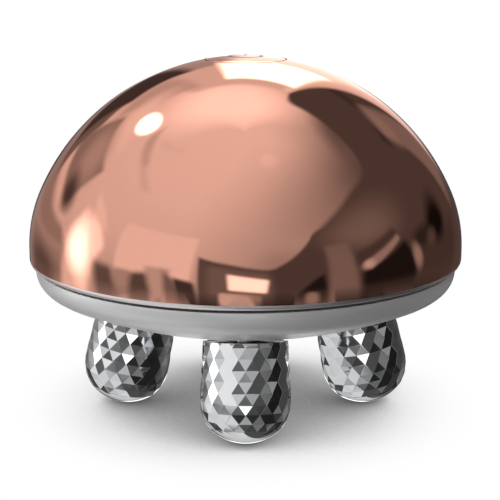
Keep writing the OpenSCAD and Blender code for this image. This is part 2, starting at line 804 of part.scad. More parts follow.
// Frame across the bowl: plate, feet, a cradle for the cell and a saddle for the motor
module chassis() {
    lead_hole_ring_r = chassis_r - 6;
    lead_hole_d = 6;
    color([0.18, 0.18, 0.2]) difference() {
        union() {
            translate([0, 0, chassis_z]) cylinder(r = chassis_r, h = chassis_t);
            for (x = [-1, 1]) translate([x * cell_saddle_x - saddle_w / 2, pack_y - cell_d / 2, deck_z])
                cube([saddle_w, cell_d, saddle_t + cell_d / 2]);
            for (x = [-motor_l + saddle_t, -motor_saddle_w])
                translate([x, -pack_y - motor_d / 2, deck_z])
                    cube([motor_saddle_w, motor_d, saddle_t + motor_d / 2]);
        }
        translate([-cell_l / 2 - nudge, pack_y, cell_z]) rotate([0, 90, 0])
            cylinder(d = cell_d, h = cell_l + 2 * nudge);
        translate([-motor_l - nudge, -pack_y, motor_z]) rotate([0, 90, 0])
            cylinder(d = motor_d, h = motor_l + 2 * nudge);
        at_corners(post_r) translate([0, 0, chassis_z - nudge]) cylinder(d = small_screw_d, h = overall_h);
        for (y = [-1, 1]) translate([motor_mid_x, clamp_screw_y(y), chassis_z - nudge])
            cylinder(d = small_screw_d, h = overall_h);
        for (a = [0 : 90 : 270]) rotate([0, 0, a]) translate([lead_hole_ring_r, 0, chassis_z - nudge])
            cylinder(d = lead_hole_d, h = 2 * chassis_t);
    }
}

// Screws that hold the chassis on its posts, and the clamp on the chassis
module chassis_screws() {
    at_corners(post_r) translate([0, 0, deck_z]) small_screw(small_screw_l);
    for (y = [-1, 1]) translate([motor_mid_x, clamp_screw_y(y), deck_z + clamp_t])
        small_screw(clamp_t + chassis_t);
}

// Rechargeable cell with its raised end
module battery_cell() {
    tip_h = 1;
    tip_d = 5.6;
    color([0.2, 0.35, 0.6]) translate([-cell_l / 2, pack_y, cell_z]) rotate([0, 90, 0]) {
        cylinder(d = cell_d, h = cell_l - tip_h);
        translate([0, 0, cell_l - tip_h]) cylinder(d = tip_d, h = tip_h);
    }
}

// Vibration motor's can, with the bore that its shaft turns in
module motor_can() {
    color([0.66, 0.66, 0.68]) translate([-motor_l, -pack_y, motor_z]) rotate([0, 90, 0]) difference() {
        cylinder(d = motor_d, h = motor_l);
        translate([0, 0, motor_l / 2]) cylinder(r = shaft_d / 2 + axle_fit, h = motor_l);
    }
}

// Strap that holds the motor down in its saddle
module motor_clamp() {
    color([0.5, 0.5, 0.52]) translate([motor_mid_x - clamp_w / 2, -pack_y, deck_z]) difference() {
        union() {
            intersection() {
                translate([0, 0, motor_z - deck_z]) rotate([0, 90, 0])
                    cylinder(d = motor_d + 2 * clamp_t, h = clamp_w);
                translate([0, -motor_d, 0]) cube([clamp_w, 2 * motor_d, 2 * motor_d]);
            }
            translate([0, -motor_d / 2 - clamp_t, 0])
                cube([clamp_w, motor_d + 2 * clamp_t, motor_z - deck_z]);
            translate([0, -motor_d / 2 - clamp_t - clamp_foot, 0])
                cube([clamp_w, motor_d + 2 * (clamp_t + clamp_foot), clamp_t]);
        }
        translate([-nudge, 0, motor_z - deck_z]) rotate([0, 90, 0])
            cylinder(d = motor_d, h = clamp_w + 2 * nudge);
        translate([-nudge, -motor_d / 2, -nudge])
            cube([clamp_w + 2 * nudge, motor_d, motor_z - deck_z + nudge]);
        for (y = [-1, 1]) translate([clamp_w / 2, clamp_screw_y(y) + pack_y, -nudge])
            cylinder(d = small_screw_d, h = motor_d);
    }
}

// Shaft of the motor
module motor_shaft() {
    color([0.7, 0.7, 0.72]) translate([-motor_l / 2 + plunger_spare, -pack_y, motor_z]) rotate([0, 90, 0])
        cylinder(d = shaft_d, h = motor_l / 2 + weight_gap + weight_l);
}

// Half-round weight that makes the motor shake
module eccentric_weight() {
    color([0.45, 0.45, 0.47]) translate([weight_gap, -pack_y, motor_z]) rotate([0, 90, 0]) difference() {
        union() {
            intersection() {
                cylinder(r = weight_r, h = weight_l);
                translate([0, -weight_r, 0]) cube([weight_r, 2 * weight_r, weight_l]);
            }
            cylinder(d = 2 * shaft_d, h = weight_l);
        }
        translate([0, 0, -nudge]) cylinder(d = shaft_d, h = weight_l + 2 * nudge);
    }
}

// Flat-sided rounded prism along y, as wide and high as the socket with a gap all round
module socket_prism(gap, l) {
    mid_w = (socket_w - socket_h) / 2;
    end_r = socket_h / 2 + gap;
    rotate([-90, 0, 0]) linear_extrude(height = l)
        polygon([for (end = [1, -1]) for (a = [-90 : end_step : 90])
            end * [mid_w + end_r * cos(a), end_r * sin(a)]]);
}

// Metal shell of the charging socket with its tongue
module charging_socket() {
    shell_t = 0.3;
    back_t = 1;
    leaf_t = 0.7;
    leaf_w = 2 / 3 * socket_w;
    color([0.7, 0.7, 0.72]) translate([0, socket_y - socket_l, socket_z]) {
        difference() {
            socket_prism(0, socket_l);
            translate([0, back_t, 0]) socket_prism(-shell_t, socket_l);
        }
        translate([-leaf_w / 2, 0, -leaf_t / 2]) cube([leaf_w, socket_l - back_t, leaf_t]);
    }
}

// Small board that the charging socket hangs from
module charge_board() {
    color([0.05, 0.32, 0.2]) difference() {
        translate([-socket_board_w / 2, socket_post_y - socket_post_inset, socket_top_z])
            cube([socket_board_w, socket_board_l, socket_board_t]);
        for (x = [-socket_post_x, socket_post_x]) translate([x, socket_post_y, socket_top_z - nudge])
            cylinder(d = small_screw_d, h = 2 * socket_board_t);
    }
}

// Two small screws on the charging board
module charge_board_screws() {
    for (x = [-socket_post_x, socket_post_x]) translate([x, socket_post_y, socket_top_z + socket_board_t])
        small_screw(socket_screw_l);
}

dome_cover();
base_shell();
seal_gasket();
housing_screws();
roller(FRONT);  // roller_front
roller(RIGHT);  // roller_right
roller(BACK);  // roller_back
roller(LEFT);  // roller_left
axle(FRONT);  // axle_front
axle(RIGHT);  // axle_right
axle(BACK);  // axle_back
axle(LEFT);  // axle_left
clip(FRONT);  // clip_front
clip(RIGHT);  // clip_right
clip(BACK);  // clip_back
clip(LEFT);  // clip_left
bush(FRONT);  // bush_front
bush(RIGHT);  // bush_right
bush(BACK);  // bush_back
bush(LEFT);  // bush_left
shaft_seal(FRONT);  // shaft_seal_front
shaft_seal(RIGHT);  // shaft_seal_right
shaft_seal(BACK);  // shaft_seal_back
shaft_seal(LEFT);  // shaft_seal_left
power_button();
power_symbol();
switch_plunger();
return_spring();
button_guide();
circuit_board();
board_components();
board_screws();
tact_switch();
status_led();
chassis();
chassis_screws();
battery_cell();
motor_can();
motor_clamp();
motor_shaft();
eccentric_weight();
charging_socket();
charge_board();
charge_board_screws();
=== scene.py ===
# Palm-held facial massager: a mirror-plated dome over a satin bowl, with four faceted rollers on
# steel axles and a power button in the crown. Metres; +Z is up and the front is -Y. The sections
# follow the object as it is put together, after the camera and the surroundings.
import json
import math

import bmesh
import bpy
from mathutils import Matrix, Vector


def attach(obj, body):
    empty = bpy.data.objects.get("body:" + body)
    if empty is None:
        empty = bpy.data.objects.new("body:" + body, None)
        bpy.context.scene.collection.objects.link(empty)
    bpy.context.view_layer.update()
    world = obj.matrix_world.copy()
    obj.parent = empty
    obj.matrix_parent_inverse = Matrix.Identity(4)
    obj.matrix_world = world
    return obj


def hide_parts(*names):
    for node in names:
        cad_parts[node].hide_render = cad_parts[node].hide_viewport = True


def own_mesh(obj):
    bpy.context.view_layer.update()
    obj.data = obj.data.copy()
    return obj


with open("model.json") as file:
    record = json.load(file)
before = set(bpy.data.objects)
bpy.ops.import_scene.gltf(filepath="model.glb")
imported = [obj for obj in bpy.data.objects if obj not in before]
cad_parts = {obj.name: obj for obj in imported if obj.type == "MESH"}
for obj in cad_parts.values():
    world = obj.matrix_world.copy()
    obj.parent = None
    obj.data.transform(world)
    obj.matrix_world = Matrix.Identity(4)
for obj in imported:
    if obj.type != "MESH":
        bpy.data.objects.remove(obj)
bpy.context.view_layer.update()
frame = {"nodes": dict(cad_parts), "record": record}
nodes = frame["nodes"]
mm = 0.001


# Camera
# A long lens in front of the object, a little above it and pitched down.
camera_distance = 309.6 * mm
camera_height = 105.9 * mm
camera_pitch = 12.85
frame_shift = 0.009

camera_data = bpy.data.cameras.new("camera")
camera_data.sensor_width = 36.0
camera_data.lens = 101.7
camera_data.shift_x = frame_shift
camera = bpy.data.objects.new("camera", camera_data)
camera.location = (0.0, -camera_distance, camera_height)
camera.rotation_euler = (math.radians(90.0 - camera_pitch), 0.0, 0.0)
bpy.context.scene.collection.objects.link(camera)
bpy.context.scene.camera = camera
bpy.context.scene.view_settings.view_transform = "Standard"


# Surroundings
# The mirror plating shows the room that it stands in: a pale ceiling with an oval lamp, a tall
# window behind, a lit wall on the left, and the dark side of the room with its furniture on the
# right. Azimuth is counted from the front, -Y, towards +X, and elevation from the horizon, in degrees.
def new_node(tree, kind, inputs=(), **settings):
    """A node of that kind with its settings; inputs maps a socket to a value or to an output."""
    made = tree.nodes.new(kind)
    for name, value in settings.items():
        setattr(made, name, value)
    for socket, value in dict(inputs).items():
        if isinstance(value, bpy.types.NodeSocket):
            tree.links.new(value, made.inputs[socket])
        else:
            made.inputs[socket].default_value = value
    return made


def calculate(tree, operation, *terms):
    """Output of a Math node."""
    return new_node(tree, "ShaderNodeMath", enumerate(terms), operation=operation).outputs[0]


def calculate_vector(tree, operation, *terms):
    """Vector that a Vector Math node puts out."""
    return new_node(tree, "ShaderNodeVectorMath", enumerate(terms), operation=operation).outputs[0]


def measure(tree, operation, *terms):
    """Number that a Vector Math node puts out."""
    return new_node(tree, "ShaderNodeVectorMath", enumerate(terms), operation=operation).outputs["Value"]


def soft_step(tree, value, start, end, low=0.0, high=1.0):
    """Smooth ramp from low to high while the value goes from start to end."""
    return new_node(tree, "ShaderNodeMapRange",
                    {"Value": value, "From Min": start, "From Max": end, "To Min": low, "To Max": high},
                    interpolation_type="SMOOTHSTEP").outputs[0]


def by_stops(tree, value, start, end, stops):
    """Grey ramp over the value, from start to end, through those stops of a value and its level."""
    place = new_node(tree, "ShaderNodeMapRange", {"Value": value, "From Min": start, "From Max": end})
    ramp = new_node(tree, "ShaderNodeValToRGB", {"Fac": place.outputs[0]})
    elements = ramp.color_ramp.elements
    while len(elements) < len(stops):
        elements.new(0.5)
    for element, (where, level) in zip(elements, stops):
        element.position = (where - start) / (end - start)
        element.color = (level, level, level, 1.0)
    return ramp.outputs["Color"]


def node_group(name, inputs, outputs):
    """An empty shader group with those sockets, its input node's outputs and its output node's inputs."""
    group = bpy.data.node_groups.new(name, "ShaderNodeTree")
    for label, kind, value in inputs:
        socket = group.interface.new_socket(label, in_out="INPUT", socket_type="NodeSocket" + kind)
        socket.default_value = value
    for label, kind in outputs:
        group.interface.new_socket(label, in_out="OUTPUT", socket_type="NodeSocket" + kind)
    return group, group.nodes.new("NodeGroupInput").outputs, group.nodes.new("NodeGroupOutput").inputs


def towards(group, given):
    """Azimuth and elevation looked at, with the azimuth unrolled round the shape's middle."""
    turned_by = calculate(group, "SUBTRACT", given["Azimuth"], given["Middle"])
    unrolled = calculate(group, "ADD", calculate(group, "WRAP", turned_by, 180.0, -180.0), given["Middle"])
    return new_node(group, "ShaderNodeCombineXYZ", {"X": unrolled, "Y": given["Elevation"]}).outputs[0]


look = [("Azimuth", "Float", 0.0), ("Elevation", "Float", 0.0), ("Middle", "Float", 0.0),
        ("Edge", "Float", 1.0)]
corner_names = ["Upper left", "Upper right", "Lower right", "Lower left"]
quad_group, given, result = node_group(
    "room_quad", look + [(name, "Vector", (0.0, 0.0, 0.0)) for name in corner_names], [("Mask", "Float")])
at = towards(quad_group, given)
outwards = calculate(quad_group, "MULTIPLY", given["Edge"], -1.0)
mask = 1.0
for here, there in zip(corner_names, corner_names[1:] + corner_names[:1]):
    along = calculate_vector(quad_group, "SUBTRACT", given[there], given[here])
    inwards = calculate_vector(quad_group, "CROSS_PRODUCT",
                               calculate_vector(quad_group, "NORMALIZE", along), (0.0, 0.0, 1.0))
    from_corner = calculate_vector(quad_group, "SUBTRACT", at, given[here])
    depth = measure(quad_group, "DOT_PRODUCT", from_corner, inwards)
    mask = calculate(quad_group, "MULTIPLY", mask, soft_step(quad_group, depth, outwards, given["Edge"]))
quad_group.links.new(mask, result["Mask"])

oval_group, given, result = node_group(
    "room_oval", look + [("Centre", "Vector", (0.0, 0.0, 0.0)), ("Half size", "Vector", (1.0, 1.0, 1.0)),
                         ("Tilt", "Float", 0.0)], [("Mask", "Float")])
offset = calculate_vector(oval_group, "SUBTRACT", towards(oval_group, given), given["Centre"])
lean = calculate(oval_group, "MULTIPLY", given["Tilt"], -math.pi / 180)
upright = new_node(oval_group, "ShaderNodeVectorRotate", {"Vector": offset, "Angle": lean},
                   rotation_type="Z_AXIS").outputs[0]
share = measure(oval_group, "LENGTH", calculate_vector(oval_group, "DIVIDE", upright, given["Half size"]))
rim = soft_step(oval_group, share, calculate(oval_group, "ADD", 1.0, given["Edge"]),
                calculate(oval_group, "SUBTRACT", 1.0, given["Edge"]))
oval_group.links.new(rim, result["Mask"])

# Brightness of the bare room by elevation
room_levels = [(-90, 0.86), (-58, 0.66), (-30, 0.34), (-14, 0.58), (2, 0.72), (20, 0.84), (45, 0.92),
               (65, 0.96), (90, 1.00)]
# Upper edge of the dark side of the room, by azimuth, and the window of azimuth and elevation it is in
skyline = [(-26, 15), (-18, 11.5), (-8, 9), (4, 6), (12, 5), (18, 8), (23, 12), (28, 17), (34, 24),
           (39, 30), (48, 34), (60, 37.5), (74, 40.5), (96, 42.5), (104, 47), (113, 52.5), (126, 57.5),
           (140, 60.5), (149, 61), (156, 57)]
skyline_azimuths = (-40.0, 170.0)
skyline_heights = (-20.0, 70.0)
dark_side_from = -24.0
dark_side_to = 157.8
dark_side_softness = 1.5
dark_side_level = 0.085
# Things in the room, the later ones over the earlier ones. A quad has its corners from the upper
# left round to the lower left, an oval has its middle, half size and tilt. Both end with how soft
# their edge is, in degrees for a quad and as a share of its size for an oval, and their brightness.
behind_the_dark_side = [
    # Light on the ceiling over the window, and a faint reflection of it
    ("oval", (-172, 68), (52, 17), 0, 0.60, 1.55),
    ("oval", (32, 71), (11, 3.5), 0, 0.60, 1.10),
    # Where the room grows dark towards the right
    ("oval", (34, 12), (46, 44), 0, 0.75, 0.54),
    ("oval", (22, 6), (15, 12), 0, 0.80, 0.40),
    ("oval", (100, 42), (50, 22), 0, 1.00, 0.13),
    ("oval", (118, 50), (20, 10), 0, 0.60, 0.15),
    # Pale wall round the window
    ("quad", (155, 55), (204, 52), (204, 0), (155, 0), 2.5, 0.86),
    ("quad", (198, 48), (216, 44), (216, 28), (196, 28), 3.0, 0.62),
    # Corner of the ceiling over the left wall
    ("quad", (-119, 57.5), (-88, 50.5), (-88, 47), (-112, 51), 2.0, 0.66),
    ("quad", (-90, 50), (-70, 43.5), (-74, 41.5), (-90, 47), 2.2, 0.78),
    ("quad", (-104, 59), (-78, 65.5), (-76, 63.5), (-100, 56.5), 2.0, 0.90),
    ("oval", (-137, 41), (16, 5), 0, 0.80, 1.05),
    # Picture in a dark frame, with a shelf and the shade under it
    ("quad", (-150, 13.5), (-118, 11.5), (-106, 4), (-150, 9), 1.6, 0.86),
    ("quad", (-172, 9), (-112, 7), (-108, -2), (-172, -4), 3.0, 0.35),
    ("quad", (-172, -2), (-108, -2), (-110, -20), (-172, -20), 4.0, 0.38),
    ("oval", (-134, -13), (17, 6.5), 0, 0.70, 0.13),
    ("quad", (-141.5, 34), (-110, 32.5), (-120, 12.5), (-148, 14.5), 1.8, 0.31),
    ("oval", (-127, 27.5), (11, 7), 0, 0.80, 0.50),
    ("oval", (-122, 16), (7, 4.5), 0, 0.80, 0.08),
    # Oval lamp in the ceiling
    ("oval", (-127.5, 48.8), (9.6, 4.9), 16, 0.22, 5.0),
    # Sunlight on the left wall
    ("quad", (-99, 29), (-86, 26), (-79, 18), (-97, 25), 2.0, 1.02),
    ("quad", (-94, 22), (-85, 20), (-78, 9), (-84, -2), 3.0, 1.50),
    ("quad", (-101.5, 21), (-91, 21), (-86, -3), (-104, -3), 3.2, 1.45),
    ("quad", (-105, -1), (-88, -1), (-92, -24), (-114, -24), 3.5, 0.95),
    ("oval", (-95.5, 1.5), (7.5, 12), 8, 0.85, 3.2),
    # Pale panel with its shadow on the right, and dark legs in front of it
    ("quad", (-70, 28.5), (-25.3, 28), (-28, -5), (-70, -3), 2.0, 0.99),
    ("quad", (-70, -2), (-60, -2), (-60, -20), (-70, -20), 2.5, 0.46),
    ("quad", (-52, 3), (-38, 3), (-40, -20), (-50, -20), 2.5, 0.60),
    ("quad", (-83, -1), (-71.5, -2), (-69.5, -20), (-84, -20), 3.5, 0.14),
    ("quad", (-60, -3), (-51, -1.5), (-49, -20), (-63, -20), 3.0, 0.11),
    ("quad", (-42, 1), (-37, -3.5), (-33, -20), (-42, -20), 2.5, 0.20),
    ("quad", (-37, -3), (-26, -6), (-24, -20), (-35, -20), 2.2, 0.06),
]
in_the_dark_side = [
    # Edge of the panel's shadow
    ("quad", (-25, 18), (-20, 15), (-20, -20), (-28, -20), 1.5, 0.11),
    # Low front of the room
    ("quad", (-20, 9), (12, 2), (14, -20), (-20, -20), 4.0, 0.19),
    ("quad", (42, 19), (55, 19), (61, -20), (43, -20), 2.5, 0.215),
    ("quad", (37, -2), (40, -1), (43, -20), (25, -16), 2.0, 0.015),
    ("oval", (68, 24), (22, 10), 0, 0.80, 0.20),
    # Window ahead and its sill
    ("quad", (-9, 1.5), (11.5, -3), (10.5, -13), (-8.5, -10.5), 1.6, 1.9),
    ("quad", (-13, -12.8), (8, -15), (8, -22), (-15, -22), 1.5, 0.64),
    ("oval", (34, -16), (3.5, 2.2), 0, 0.60, 0.34),
    # Furniture with a light rail and a light leg
    ("quad", (59, 10), (86, 18.5), (88, 14.5), (58, 3), 2.5, 0.07),
    ("quad", (61, -4), (91, 9), (104, -20), (63, -20), 2.5, 0.013),
    ("quad", (62, 3), (87, 13.5), (88, 10.5), (66, -2.5), 1.5, 0.33),
    ("oval", (65, 1), (3.5, 2.5), 20, 0.80, 0.60),
    ("quad", (98, 0), (140, 0), (140, -20), (98, -20), 2.5, 0.065),
    ("oval", (105, 5), (8, 5), 0, 0.70, 0.03),
    ("oval", (121, 6), (9.5, 7.5), 0, 0.50, 0.008),
    ("oval", (113, 2), (4, 3.5), 0, 0.80, 0.09),
    ("oval", (99, -2.5), (3, 6.5), 18, 0.70, 0.33),
    # Door in the far corner
    ("quad", (129, 32.5), (158, 36), (158, 31), (130, 28.5), 2.0, 0.055),
    ("quad", (135, 29.5), (149, 31), (163, -8), (150, -8), 2.0, 0.24),
    ("oval", (142, 27), (6, 5), 0, 0.80, 0.30),
]
over_everything = [
    # Window behind, with the pale blind under its bright part and a dark cupboard beside it
    ("quad", (159, 54), (162, 54), (165, 0), (160.5, 0), 1.8, 1.10),
    ("quad", (163, 26), (183, 26), (181, 2), (166, 2), 2.0, 1.80),
    ("quad", (183, 25), (194, 28), (190, 2), (180, 2), 2.5, 0.48),
    ("quad", (160, 48.5), (187, 46.5), (184.5, 22), (164, 23), 1.5, 3.8),
    ("quad", (206, 25), (214, 22), (214, 6), (206, 6), 2.0, 0.19),
    ("quad", (191, 27), (207.5, 27), (207.5, 8), (188, 5), 1.8, 0.06),
    # Below what the dome shows: light on the left, dark on the right, in front and in the far corners
    ("quad", (-150, -20), (-25, -20), (-25, -58), (-150, -58), 9.0, 0.56),
    ("quad", (20, -18), (155, -18), (155, -58), (20, -58), 9.0, 0.15),
    ("quad", (-25, -20), (20, -20), (20, -50), (-25, -50), 6.0, 0.30),
    ("quad", (145, 0), (200, 0), (200, -40), (145, -40), 4.0, 0.09),
    ("quad", (173, 2), (187, 2), (187, -40), (173, -40), 2.0, 1.60),
]
# Patches low in the room, which make the rollers' lower facets differ from each other
patch_scale = 0.055
patch_dark = 0.12
patch_light = 1.45
# What plain surfaces are lit by: an even, soft light, stronger from above
soft_light_above = 1.06
soft_light_below = 0.60

world = bpy.data.worlds.new("surroundings")
world.use_nodes = True
bpy.context.scene.world = world
world.cycles.sampling_method = "NONE"
tree = world.node_tree
tree.nodes.clear()
direction = new_node(tree, "ShaderNodeTexCoord").outputs["Generated"]
axes = new_node(tree, "ShaderNodeSeparateXYZ", {0: direction}).outputs
azimuth = calculate(tree, "DEGREES",
                    calculate(tree, "ARCTAN2", axes["X"], calculate(tree, "MULTIPLY", axes["Y"], -1.0)))
elevation = calculate(tree, "DEGREES", calculate(tree, "ARCSINE", axes["Z"]))


def with_things(room, things):
    """Brightness of the room with those things over it."""
    for shape, *places, edge, level in things:
        if shape == "quad":
            group = quad_group
            middle = sum(corner[0] for corner in places) / 4
            placed = {name: (*corner, 0.0) for name, corner in zip(corner_names, places)}
        else:
            group = oval_group
            centre, half_size, tilt = places
            middle = centre[0]
            placed = {"Centre": (*centre, 0.0), "Half size": (*half_size, 1.0), "Tilt": tilt}
        placed.update({"Azimuth": azimuth, "Elevation": elevation, "Middle": middle, "Edge": edge})
        mask = new_node(tree, "ShaderNodeGroup", placed, node_tree=group).outputs["Mask"]
        room = new_node(tree, "ShaderNodeMix", {"Factor": mask, "A": room, "B": level}).outputs[0]
    return room


room = by_stops(tree, elevation, -90.0, 90.0, room_levels)
room = with_things(room, behind_the_dark_side)
azimuth_share = new_node(tree, "ShaderNodeMapRange",
                         {"Value": azimuth, "From Min": skyline_azimuths[0],
                          "From Max": skyline_azimuths[1]}).outputs[0]
outline = new_node(tree, "ShaderNodeFloatCurve", {"Value": azimuth_share})
curve = outline.mapping.curves[0]
while len(curve.points) < len(skyline):
    curve.points.new(0.5, 0.5)
skyline_width = skyline_azimuths[1] - skyline_azimuths[0]
skyline_rise = skyline_heights[1] - skyline_heights[0]
for point, (degrees, height) in zip(curve.points, skyline):
    point.location = ((degrees - skyline_azimuths[0]) / skyline_width,
                      (height - skyline_heights[0]) / skyline_rise)
outline.mapping.update()
edge_height = calculate(tree, "ADD", calculate(tree, "MULTIPLY", outline.outputs[0], skyline_rise),
                        skyline_heights[0])
under_edge = soft_step(tree, calculate(tree, "SUBTRACT", edge_height, elevation), -2.2, 1.6)
from_left = soft_step(tree, azimuth, dark_side_from - dark_side_softness, dark_side_from + dark_side_softness)
from_right = soft_step(tree, azimuth, dark_side_to + dark_side_softness, dark_side_to - dark_side_softness)
dark_side = calculate(tree, "MULTIPLY", under_edge, calculate(tree, "MULTIPLY", from_left, from_right))
inside_it = with_things(dark_side_level, in_the_dark_side)
room = new_node(tree, "ShaderNodeMix", {"Factor": dark_side, "A": room, "B": inside_it}).outputs[0]
room = with_things(room, over_everything)

low_down = new_node(tree, "ShaderNodeCombineXYZ", {"X": azimuth, "Y": elevation}).outputs[0]
patches = new_node(tree, "ShaderNodeTexVoronoi",
                   {"Vector": low_down, "Scale": patch_scale, "Smoothness": 0.3},
                   voronoi_dimensions="2D", feature="SMOOTH_F1").outputs["Color"]
patch_level = soft_step(tree, patches, 0.34, 0.66, patch_dark, patch_light)
how_low = calculate(tree, "MULTIPLY", soft_step(tree, elevation, -12.0, -20.0),
                    soft_step(tree, elevation, -72.0, -52.0))
in_front = soft_step(tree, calculate(tree, "ABSOLUTE", azimuth), 150.0, 140.0)
how_patchy = calculate(tree, "MULTIPLY", how_low, in_front)
patchy = new_node(tree, "ShaderNodeMix", {"Factor": how_patchy, "A": 1.0, "B": patch_level}).outputs[0]
room = calculate(tree, "MULTIPLY", room, patchy)

rays = new_node(tree, "ShaderNodeLightPath").outputs
soft_light = soft_step(tree, axes["Z"], -0.4, 0.4, soft_light_below, soft_light_above)
seen_in_plating = new_node(tree, "ShaderNodeBackground", {"Color": room}).outputs[0]
on_plain_surfaces = new_node(tree, "ShaderNodeBackground", {"Color": soft_light}).outputs[0]
seen_plainly = new_node(tree, "ShaderNodeBackground", {"Color": (1.0, 1.0, 1.0, 1.0)}).outputs[0]
lit = new_node(tree, "ShaderNodeMixShader",
               {0: rays["Is Glossy Ray"], 1: on_plain_surfaces, 2: seen_in_plating}).outputs[0]
shown = new_node(tree, "ShaderNodeMixShader",
                 {0: rays["Is Camera Ray"], 1: lit, 2: seen_plainly}).outputs[0]
new_node(tree, "ShaderNodeOutputWorld", {"Surface": shown})


# Floor
# A white sweep. The camera sees it white, greyed where what stands on it shuts out the light. The
# plating doesn't show it, so that the dome's lower band shows the room, and from underneath it is clear.
floor_half = 4.0
shadow_reach = 55 * mm
# White of the floor by its share of open sky
floor_tones = [(0.00, 0.03), (0.16, 0.24), (0.22, 0.31), (0.34, 0.52), (0.43, 0.78), (0.50, 0.87),
               (0.60, 0.97), (0.68, 1.00)]

floor_shape = bmesh.new()
bmesh.ops.create_grid(floor_shape, x_segments=1, y_segments=1, size=floor_half)
floor_mesh = bpy.data.meshes.new("floor")
floor_shape.to_mesh(floor_mesh)
floor_shape.free()
floor = bpy.data.objects.new("floor", floor_mesh)
bpy.context.scene.collection.objects.link(floor)

floor_white = bpy.data.materials.new("floor_white")
floor_white.use_nodes = True
tree = floor_white.node_tree
tree.nodes.clear()
open_sky = new_node(tree, "ShaderNodeAmbientOcclusion", {"Distance": shadow_reach}, samples=16).outputs["AO"]
seen_floor = new_node(tree, "ShaderNodeEmission",
                      {"Color": by_stops(tree, open_sky, 0.0, 1.0, floor_tones)}).outputs[0]
lit_floor = new_node(tree, "ShaderNodeBsdfDiffuse", {"Color": (0.8, 0.8, 0.8, 1.0)}).outputs[0]
unseen = new_node(tree, "ShaderNodeBsdfTransparent").outputs[0]
rays = new_node(tree, "ShaderNodeLightPath").outputs
not_glossy = new_node(tree, "ShaderNodeMixShader",
                      {0: rays["Is Camera Ray"], 1: lit_floor, 2: seen_floor}).outputs[0]
underneath = new_node(tree, "ShaderNodeNewGeometry").outputs["Backfacing"]
seen_from_below = calculate(tree, "MULTIPLY", rays["Is Camera Ray"], underneath)
clear = calculate(tree, "MAXIMUM", rays["Is Glossy Ray"], seen_from_below)
shown = new_node(tree, "ShaderNodeMixShader", {0: clear, 1: not_glossy, 2: unseen}).outputs[0]
new_node(tree, "ShaderNodeOutputMaterial", {"Surface": shown})
floor_mesh.materials.append(floor_white)


# Finishes
# What the pieces are made of. Every finish varies a little over its surface, by one shared grain.
grain_group, given, result = node_group(
    "surface_grain",
    [("Scale", "Float", 400.0), ("Stretch", "Vector", (1.0, 1.0, 1.0)), ("Smooth", "Float", 0.1),
     ("Rough", "Float", 0.2), ("Relief", "Float", 0.0)],
    [("Roughness", "Float"), ("Normal", "Vector"), ("Shade", "Float")])
place = new_node(grain_group, "ShaderNodeTexCoord").outputs["Object"]
stretched = calculate_vector(grain_group, "MULTIPLY", place, given["Stretch"])
fine = new_node(grain_group, "ShaderNodeTexNoise",
                {"Vector": stretched, "Scale": given["Scale"], "Detail": 4.0, "Roughness": 0.55}).outputs[0]
broad_scale = calculate(grain_group, "MULTIPLY", given["Scale"], 0.09)
broad = new_node(grain_group, "ShaderNodeTexNoise",
                 {"Vector": place, "Scale": broad_scale, "Detail": 2.0}).outputs[0]
both = calculate(grain_group, "ADD", calculate(grain_group, "MULTIPLY", fine, 0.6),
                 calculate(grain_group, "MULTIPLY", broad, 0.4))
shade = soft_step(grain_group, both, 0.35, 0.65)
rough = new_node(grain_group, "ShaderNodeMapRange",
                 {"Value": shade, "To Min": given["Smooth"], "To Max": given["Rough"]}).outputs[0]
relief = new_node(grain_group, "ShaderNodeBump",
                  {"Height": fine, "Strength": 1.0, "Distance": given["Relief"]}).outputs[0]
grain_group.links.new(rough, result["Roughness"])
grain_group.links.new(relief, result["Normal"])
grain_group.links.new(shade, result["Shade"])


def finish(name, colour, shaded, smooth, rough, scale, relief=0.0, stretch=(1.0, 1.0, 1.0), **sockets):
    """A Principled material whose colour and roughness vary by the grain; sockets are its plain values."""
    material = bpy.data.materials.new(name)
    material.use_nodes = True
    tree = material.node_tree
    shader = tree.nodes["Principled BSDF"]
    grain = new_node(tree, "ShaderNodeGroup",
                     {"Scale": scale, "Stretch": stretch, "Smooth": smooth, "Rough": rough, "Relief": relief},
                     node_tree=grain_group).outputs
    tone = new_node(tree, "ShaderNodeMix", {0: grain["Shade"], 6: (*colour, 1.0), 7: (*shaded, 1.0)},
                    data_type="RGBA").outputs[2]
    tree.links.new(tone, shader.inputs["Base Color"])
    tree.links.new(grain["Roughness"], shader.inputs["Roughness"])
    if relief:
        tree.links.new(grain["Normal"], shader.inputs["Normal"])
    for label, value in sockets.items():
        shader.inputs[label.replace("_", " ")].default_value = value
    return material


